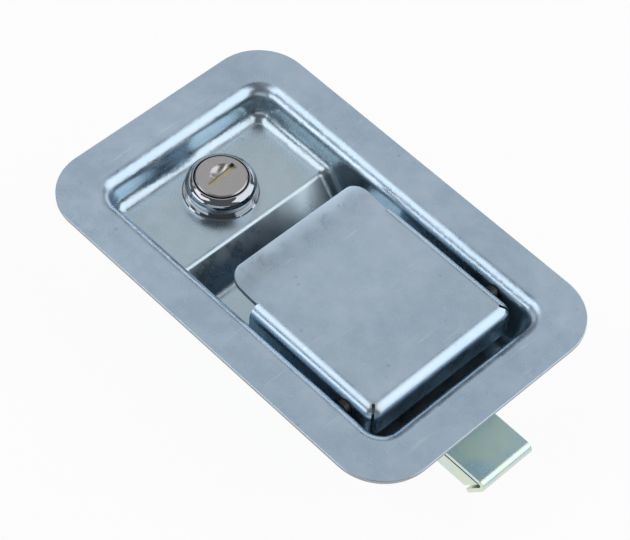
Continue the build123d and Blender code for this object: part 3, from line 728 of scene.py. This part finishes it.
def close_ends(coil):
    """Caps a coil's two wire ends and turns its faces outward."""
    pick(coil)
    bpy.ops.object.mode_set(mode="EDIT")
    bpy.ops.mesh.select_all(action="SELECT")
    bpy.ops.mesh.fill_holes(sides=0)
    bpy.ops.mesh.normals_make_consistent(inside=False)
    bpy.ops.object.mode_set(mode="OBJECT")
    bpy.ops.object.shade_smooth_by_angle(angle=WIRE_SHARP)


class LATCH_OT_lock(bpy.types.Operator):
    """Cut the lock barrel's thread and chamfer its nut."""

    bl_idname = "latch.lock"
    bl_label = "Thread the Lock"

    def execute(self, context):
        sizes = context.scene.latch_sizes
        add_thread(sizes)
        add_nut(sizes)
        return {"FINISHED"}


def add_thread(sizes):
    """Ridge wound round the lock's barrel below the nut, and cut off at its two flats."""
    low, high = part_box("lock_nut")
    centre = (low + high) / 2
    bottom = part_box("lock_housing")[0].z
    pitch = sizes.thread_pitch
    ridge, run_out = 0.45 * pitch, 0.4
    thread = wound(
        sides=3, radius=ridge, mean=sizes.barrel_radius, pitch=pitch,
        turns=(low.z - bottom) / pitch - run_out, steps=72,
    )
    close_ends(thread)
    keep_between(thread, 1, -sizes.barrel_flats / 2, sizes.barrel_flats / 2)
    thread.location = (centre.x, centre.y, bottom + pitch / 2)
    settle(thread, "barrel_thread", "pan")


def add_nut(sizes):
    """Hexagon nut with its lower corners chamfered and a bore that clears the barrel."""
    low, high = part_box("lock_nut")
    centre = (low + high) / 2
    wide, deep, tall = high.x - low.x, high.y - low.y, high.z - low.z
    flats = min(wide, deep)
    bore_gap, overrun = 0.05 * MM, 2 * MM
    pick()
    bpy.ops.mesh.primitive_cylinder_add(
        vertices=6, radius=flats / math.sqrt(3), depth=tall, location=centre
    )
    nut = bpy.context.object
    if wide > deep:
        nut.rotation_euler = (0.0, 0.0, math.pi / 6)
    cone = coned_blank(centre, flats / 2, tall)
    bore = round_bar(centre, sizes.barrel_radius + bore_gap, tall + overrun)
    for tool, way in ((cone, "INTERSECT"), (bore, "DIFFERENCE")):
        cut = nut.modifiers.new(way.lower(), "BOOLEAN")
        cut.operation = way
        cut.solver = "EXACT"
        cut.object = tool
    apply_all(nut)
    for tool in (cone, bore):
        bpy.data.objects.remove(tool)
    pick(nut)
    bpy.ops.object.shade_smooth_by_angle(angle=NUT_SHARP)
    settle(nut, "chamfered_nut", "pan")
    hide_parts("lock_nut")


def round_bar(centre, radius, depth):
    """An upright round bar."""
    pick()
    bpy.ops.mesh.primitive_cylinder_add(
        vertices=96, radius=radius, depth=depth, location=centre
    )
    return bpy.context.object


def coned_blank(centre, flat, tall):
    """Round blank whose lower rim rises in a cone, which trims a nut's corners."""
    rim, face_share, rise = 1.2 * flat, 0.8, 0.9 * MM
    blank = round_bar(centre, rim, tall)
    bpy.ops.object.mode_set(mode="EDIT")
    bpy.ops.mesh.select_all(action="DESELECT")
    bpy.ops.object.mode_set(mode="OBJECT")
    for face in blank.data.polygons:
        face.select = face.normal.z < -0.9
    bpy.ops.object.mode_set(mode="EDIT")
    bpy.ops.mesh.extrude_region_move(TRANSFORM_OT_translate={"value": (0.0, 0.0, 0.0)})
    bpy.ops.transform.resize(value=(face_share, face_share, 1.0), center_override=centre)
    bpy.ops.object.mode_set(mode="OBJECT")
    pick_vertices(blank, lambda place: place.z < 0 and place.xy.length > 1.1 * flat)
    bpy.ops.object.mode_set(mode="EDIT")
    bpy.ops.transform.translate(value=(0.0, 0.0, rise))
    bpy.ops.object.mode_set(mode="OBJECT")
    return blank


# ------------------------------------------------------------------ plating


# Each fine piece, and the solid whose finish it takes.
PIECES = {
    "bolt_return_coil": "bolt_spring", "paddle_return_coil": "paddle_spring",
    "barrel_thread": "lock_washer", "chamfered_nut": "lock_nut",
    **{name + "_sheet": name for name in SHEET_NODES},
}

# Each solid's finish.
WEARS = {
    "mounting_pan": "pan", "paddle": "paddle", "paddle_lever": "inner",
    "pivot_pin": "pin", "pin_clip": "spring", "pin_washers": "pin",
    "paddle_spring": "spring", "bolt_face_plate": "bolt", "bolt_channel": "bolt",
    "bolt_spacers": "rivet", "bolt_rivets": "rivet", "bolt_guide": "inner",
    "guide_rivets": "rivet", "bolt_spring": "spring", "lock_housing": "chrome",
    "lock_plug": "nickel", "dust_shutter": "brass", "wafer_tumblers": "brass",
    "lock_washer": "rivet", "lock_nut": "rivet", "lock_cam": "inner",
    "cam_washer": "rivet", "cam_screw": "rivet",
}


class LATCH_OT_finishes(bpy.types.Operator):
    """Give every solid of the latch its plated finish."""

    bl_idname = "latch.finishes"
    bl_label = "Plate the Latch"

    def execute(self, context):
        props = context.scene.latch_finish
        finishes = {
            "pan": zinc_finish("zinc_pan_plate", tint=0.04, deep=0.34, cloud=0.9, seed=0.0),
            "paddle": zinc_finish(
                "zinc_paddle_plate", tint=0.12, deep=0.3, cloud=0.9, seed=0.3,
                stain=paddle_corner(),
            ),
            "bolt": bolt_finish("zinc_bolt_plate"),
            "inner": zinc_finish("zinc_inner_plate", tint=0.5, deep=0.5, cloud=0.7, seed=1.1),
            "rivet": metal_finish("rivet_plate", PLATED_RIVET, rough=0.32),
            # The pin's near-black colour is painted shade of the gap that it sits in.
            "pin": metal_finish("pin_painted_shade", PIN_PAINTED_SHADE, rough=0.35),
            "spring": metal_finish("spring_wire", props.steel, rough=0.3),
            "chrome": chrome_finish(),
            "nickel": nickel_finish(),
            "brass": metal_finish("brass_leaf", props.brass, rough=0.3),
        }
        for name, node in NODES.items():
            paint(node, finishes[WEARS[name]])
        for piece, node in PIECES.items():
            paint(bpy.data.objects[piece], finishes[WEARS[node]])
        return {"FINISHED"}


# ------------------------------------------------------------------ stage


# How far the lamps stand off, in metres.
LIGHT_DISTANCE = 1.2

# Each lamp's name, azimuth from the bolt's axis and elevation in degrees, width and
# height in metres, and glow, with 1 as bright as lit white paper.
SOFTBOXES = (
    ("end_softbox", 46, 36, 1.35, 1.35, 1.35),
    ("side_softbox", 216, 57, 1.15, 0.6, 1.5),
    ("side_strip", 245, 15, 0.9, 0.5, 1.7),
    ("back_panel", 138, 51, 1.2, 0.75, 0.5),
    ("back_strip", 110, 12, 1.2, 0.28, 1.2),
    ("front_strip", 310, 15, 1.4, 0.45, 0.6),
    ("lock_strip", 190, 15, 1.0, 0.45, 0.6),
)

TABLE_WIDTH = 6.0

# The camera's azimuth from -Y towards +X, its elevation and its roll, in degrees.
CAMERA_ANGLES = (42.23, 52.74, 4.98)
CAMERA_TARGET = Vector((4.15, -5.11, 1.2)) * MM
CAMERA_DISTANCE = 0.65749


class LATCH_OT_stage(bpy.types.Operator):
    """Add the pale table, the soft studio lights and the camera."""

    bl_idname = "latch.stage"
    bl_label = "Set the Stage"

    def execute(self, context):
        props = context.scene.latch_stage
        add_table(props, CAD_BOX[0].z)
        add_room(props)
        for softbox in SOFTBOXES:
            add_softbox(*softbox)
        add_camera(props)
        context.scene.view_settings.view_transform = "Standard"
        return {"FINISHED"}


def add_table(props, height):
    """A wide pale floor that shows as white and keeps a soft shadow."""
    pick()
    bpy.ops.mesh.primitive_plane_add(size=TABLE_WIDTH, location=(0, 0, height))
    floor = bpy.context.object
    floor.name = "table"
    bpy.ops.object.transform_apply()
    make = Finish("table_top")
    seen = make.node("ShaderNodeLightPath", {}, {}, "Is Camera Ray")
    for ray in seen.siblings():
        if ray.socket.name in ("Is Glossy Ray", "Is Transmission Ray"):
            seen = seen.most(ray)
    matte = make.node(
        "ShaderNodeBsdfPrincipled", {},
        {"Base Color": (*props.table, 1), "Roughness": 0.9, "Specular IOR Level": 0.2},
    )
    glow = make.node("ShaderNodeEmission", {}, {"Color": WHITE, "Strength": 1.0})
    shown = {0: seen * props.whiteness, 1: matte, 2: glow}
    mixed = make.node("ShaderNodeMixShader", {}, shown)
    make.node("ShaderNodeOutputMaterial", {}, {"Surface": mixed})
    paint(floor, make.material)


def add_room(props):
    """Even soft light from the room."""
    world = bpy.data.worlds.new("studio_room")
    bpy.context.scene.world = world
    world.use_nodes = True
    tree = world.node_tree
    tree.nodes.clear()
    room = tree.nodes.new("ShaderNodeBackground")
    room.inputs["Color"].default_value = WHITE
    room.inputs["Strength"].default_value = props.sky
    out = tree.nodes.new("ShaderNodeOutputWorld")
    tree.links.new(room.outputs[0], out.inputs["Surface"])


def add_softbox(name, azimuth, elevation, width, height, glow):
    """A flat panel of light that faces the latch."""
    azimuth, elevation = math.radians(azimuth), math.radians(elevation)
    place = LIGHT_DISTANCE * Vector((
        math.cos(azimuth) * math.cos(elevation),
        math.sin(azimuth) * math.cos(elevation),
        math.sin(elevation),
    ))
    light = bpy.data.lights.new(name, "AREA")
    light.shape = "RECTANGLE"
    light.size, light.size_y = width, height
    light.energy = math.pi * width * height * glow
    lamp = bpy.data.objects.new(name, light)
    bpy.context.scene.collection.objects.link(lamp)
    lamp.location = place
    lamp.rotation_mode = "QUATERNION"
    lamp.rotation_quaternion = (-place).to_track_quat("-Z", "Y")


def add_camera(props):
    """Camera that looks down on the latch from the bolt's end."""
    azimuth, elevation, roll = (math.radians(a) for a in CAMERA_ANGLES)
    back = Vector((
        math.sin(azimuth) * math.cos(elevation),
        -math.cos(azimuth) * math.cos(elevation),
        math.sin(elevation),
    ))
    right = Vector((math.cos(azimuth), math.sin(azimuth), 0))
    up = back.cross(right)
    turned_right = right * math.cos(roll) + up * math.sin(roll)
    turned_up = up * math.cos(roll) - right * math.sin(roll)
    lens = bpy.data.cameras.new("camera")
    lens.sensor_width = 36.0
    lens.lens = props.lens
    lens.clip_start, lens.clip_end = 0.01, 50.0
    camera = bpy.data.objects.new("camera", lens)
    bpy.context.scene.collection.objects.link(camera)
    turn = Matrix((turned_right, turned_up, back)).transposed().to_4x4()
    place = CAMERA_TARGET + back * CAMERA_DISTANCE
    camera.matrix_world = Matrix.Translation(place) @ turn
    bpy.context.scene.camera = camera


# ------------------------------------------------------------------ add-on


class LATCH_PT_panel(bpy.types.Panel):
    """Sidebar list of the latch's steps and settings."""

    bl_idname = "LATCH_PT_panel"
    bl_label = "Paddle Latch"
    bl_space_type = "VIEW_3D"
    bl_region_type = "UI"
    bl_category = "Paddle Latch"

    def draw(self, context):
        layout = self.layout
        scene = context.scene
        for group in (scene.latch_finish, scene.latch_sizes, scene.latch_stage):
            for name in group.__annotations__:
                layout.prop(group, name)
        for step in STEPS:
            layout.operator(step.bl_idname)


GROUPS = (LatchFinishProps, LatchSizeProps, LatchStageProps)
STEPS = (LATCH_OT_sheet, LATCH_OT_spring, LATCH_OT_lock, LATCH_OT_finishes, LATCH_OT_stage)


def register():
    for cls in (*GROUPS, *STEPS, LATCH_PT_panel):
        bpy.utils.register_class(cls)
    bpy.types.Scene.latch_finish = bpy.props.PointerProperty(type=LatchFinishProps)
    bpy.types.Scene.latch_sizes = bpy.props.PointerProperty(type=LatchSizeProps)
    bpy.types.Scene.latch_stage = bpy.props.PointerProperty(type=LatchStageProps)


def unregister():
    del bpy.types.Scene.latch_stage
    del bpy.types.Scene.latch_sizes
    del bpy.types.Scene.latch_finish
    for cls in reversed((*GROUPS, *STEPS, LATCH_PT_panel)):
        bpy.utils.unregister_class(cls)


def main():
    """Builds the whole model in one run."""
    register()
    bpy.ops.latch.sheet()
    bpy.ops.latch.spring()
    bpy.ops.latch.lock()
    bpy.ops.latch.finishes()
    bpy.ops.latch.stage()


if __name__ == "__main__":
    main()
